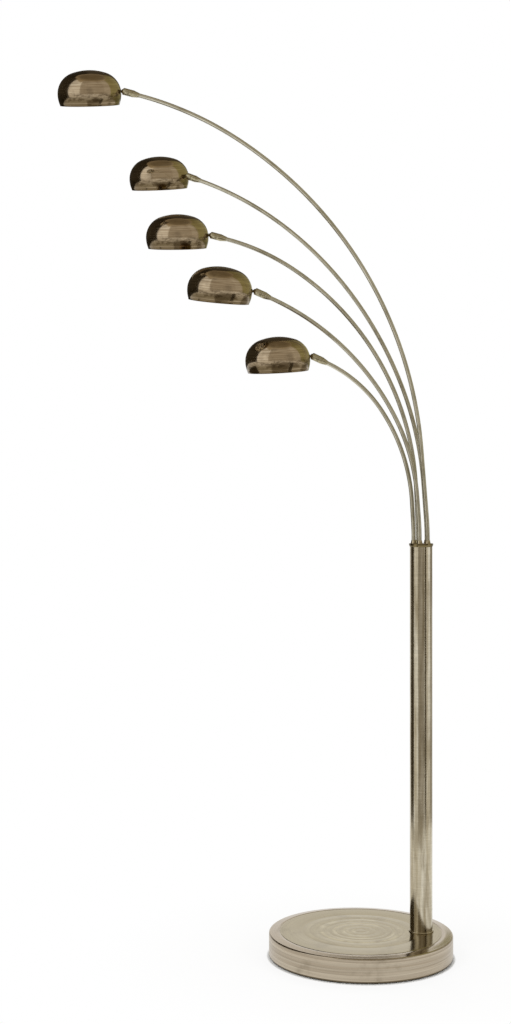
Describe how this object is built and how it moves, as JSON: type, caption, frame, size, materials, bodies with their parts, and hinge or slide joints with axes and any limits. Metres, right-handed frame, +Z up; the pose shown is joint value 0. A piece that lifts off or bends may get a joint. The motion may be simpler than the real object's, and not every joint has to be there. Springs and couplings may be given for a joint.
{
  "type": "tree floor lamp",
  "caption": "Tree floor lamp: arched swivelling arms of stepped height rise from an off-centre column on a round weighted base, each ending in a tilting domed metal shade.",
  "frame": {"origin": "centre of the round base, on the floor plane under its feet", "axes": "+Z up; the column stands toward +X and the arms reach toward -X, which is to the left in the picture; -Y is the side seen in the picture"},
  "size_m": [0.9515, 0.6075, 2.1365],
  "materials": {
    "antique_brass": "antique brass plating, finely brushed, lacquered",
    "brass_arms": "antique brass plating, satin",
    "brass_fittings": "antique brass plating, turned, satin",
    "bronze_shade": "dark antique brass plating, spun and brushed",
    "dark_bronze": "dark antique brass plating, fluted, satin",
    "bare_steel": "zinc-plated",
    "cast_weight": "rough cast, black paint",
    "black_rubber": "matte",
    "black_plastic": "moulded, satin",
    "white_plastic": "moulded, satin",
    "bulb_glass": "frosted"
  },
  "bodies": {
    "stand": {"arm_bushings": "antique_brass", "arm_seat_disc": "bare_steel", "base_bottom_plate": "bare_steel", "base_feet": "black_rubber", "base_screws": "bare_steel", "base_shell": "antique_brass", "base_weight": "cast_weight", "column_bolt": "bare_steel", "column_cap": "antique_brass", "column_foot_plug": "bare_steel", "column_foot_ring": "antique_brass", "column_tube": "antique_brass", "cord_grommet": "black_rubber", "dimmer_body": "black_plastic", "dimmer_nut": "bare_steel", "seat_nuts": "bare_steel", "seat_rod": "bare_steel", "terminal_block": "white_plastic"},
    "dimmer": {"dimmer_shaft": "bare_steel", "dimmer_knob": "dark_bronze"},
    "arm1": {"arm1_tube": "brass_arms", "arm1_ferrule": "brass_fittings"},
    "swivel1": {"arm1_swivel_ball": "brass_fittings", "arm1_pivot_pin": "brass_fittings"},
    "shade1": {"arm1_shade": "bronze_shade", "arm1_shade_stud": "brass_fittings", "arm1_lamp_holder": "black_plastic", "arm1_bulb": "bulb_glass"},
    "arm2": {"arm2_tube": "brass_arms", "arm2_ferrule": "brass_fittings"},
    "swivel2": {"arm2_swivel_ball": "brass_fittings", "arm2_pivot_pin": "brass_fittings"},
    "shade2": {"arm2_shade": "bronze_shade", "arm2_shade_stud": "brass_fittings", "arm2_lamp_holder": "black_plastic", "arm2_bulb": "bulb_glass"},
    "arm3": {"arm3_tube": "brass_arms", "arm3_ferrule": "brass_fittings"},
    "swivel3": {"arm3_swivel_ball": "brass_fittings", "arm3_pivot_pin": "brass_fittings"},
    "shade3": {"arm3_shade": "bronze_shade", "arm3_shade_stud": "brass_fittings", "arm3_lamp_holder": "black_plastic", "arm3_bulb": "bulb_glass"},
    "arm4": {"arm4_tube": "brass_arms", "arm4_ferrule": "brass_fittings"},
    "swivel4": {"arm4_swivel_ball": "brass_fittings", "arm4_pivot_pin": "brass_fittings"},
    "shade4": {"arm4_shade": "bronze_shade", "arm4_shade_stud": "brass_fittings", "arm4_lamp_holder": "black_plastic", "arm4_bulb": "bulb_glass"},
    "arm5": {"arm5_tube": "brass_arms", "arm5_ferrule": "brass_fittings"},
    "swivel5": {"arm5_swivel_ball": "brass_fittings", "arm5_pivot_pin": "brass_fittings"},
    "shade5": {"arm5_shade": "bronze_shade", "arm5_shade_stud": "brass_fittings", "arm5_lamp_holder": "black_plastic", "arm5_bulb": "bulb_glass"}
  },
  "joints": [
    {"name": "dimmer_turn", "type": "hinge", "parent": "stand", "child": "dimmer", "pos_m": [0.145, 0, 0.105], "axis": [0.5299, 0.848, 0], "range_deg": [0, 270]},
    {"name": "arm1_swing", "type": "hinge", "parent": "stand", "child": "arm1", "pos_m": [0.15956, -0.01058, 0.99], "axis": [0, 0, 1], "range_deg": [-60, 90]},
    {"name": "arm1_roll", "type": "hinge", "parent": "arm1", "child": "swivel1", "pos_m": [-0.55506, 0.02687, 2.07695], "axis": [-0.9632, 0.0505, 0.2639], "range_deg": [-90, 90]},
    {"name": "arm1_tilt", "type": "hinge", "parent": "swivel1", "child": "shade1", "pos_m": [-0.57086, 0.0277, 2.08128], "axis": [-0.1229, -0.9561, -0.2659], "range_deg": [-60, 25]},
    {"name": "arm2_swing", "type": "hinge", "parent": "stand", "child": "arm2", "pos_m": [0.15956, 0.01058, 0.99], "axis": [0, 0, 1], "range_deg": [-90, 2]},
    {"name": "arm2_roll", "type": "hinge", "parent": "arm2", "child": "swivel2", "pos_m": [-0.40944, 0.26392, 1.91439], "axis": [-0.85, 0.3784, 0.3665], "range_deg": [-90, 90]},
    {"name": "arm2_tilt", "type": "hinge", "parent": "swivel2", "child": "shade2", "pos_m": [-0.42338, 0.27012, 1.92041], "axis": [-0.4716, -0.8566, -0.2093], "range_deg": [-60, 25]},
    {"name": "arm3_swing", "type": "hinge", "parent": "stand", "child": "arm3", "pos_m": [0.13944, 0.01712, 0.99], "axis": [0, 0, 1], "range_deg": [-5, 45]},
    {"name": "arm3_roll", "type": "hinge", "parent": "arm3", "child": "swivel3", "pos_m": [-0.34405, 0.07221, 1.73596], "axis": [-0.9579, 0.1091, 0.2656], "range_deg": [-90, 90]},
    {"name": "arm3_tilt", "type": "hinge", "parent": "swivel3", "child": "shade3", "pos_m": [-0.35976, 0.07399, 1.74031], "axis": [-0.1615, -0.9696, -0.184], "range_deg": [-60, 25]},
    {"name": "arm4_swing", "type": "hinge", "parent": "stand", "child": "arm4", "pos_m": [0.13944, -0.01712, 0.99], "axis": [0, 0, 1], "range_deg": [-7, 90]},
    {"name": "arm4_roll", "type": "hinge", "parent": "arm4", "child": "swivel4", "pos_m": [-0.23843, -0.06485, 1.5809], "axis": [-0.9112, -0.1151, 0.3955], "range_deg": [-90, 90]},
    {"name": "arm4_tilt", "type": "hinge", "parent": "swivel4", "child": "shade4", "pos_m": [-0.25337, -0.06674, 1.58739], "axis": [0.0553, -0.9857, -0.1595], "range_deg": [-60, 25]},
    {"name": "arm5_swing", "type": "hinge", "parent": "stand", "child": "arm5", "pos_m": [0.127, 0, 0.99], "axis": [0, 0, 1], "range_deg": [-66, 6]},
    {"name": "arm5_roll", "type": "hinge", "parent": "arm5", "child": "swivel5", "pos_m": [-0.103, -0.04471, 1.42906], "axis": [-0.8968, -0.1743, 0.4067], "range_deg": [-75, 75]},
    {"name": "arm5_tilt", "type": "hinge", "parent": "swivel5", "child": "shade5", "pos_m": [-0.11771, -0.04757, 1.43573], "axis": [0.1444, -0.9841, -0.1034], "range_deg": [-35, 15]}
  ]
}
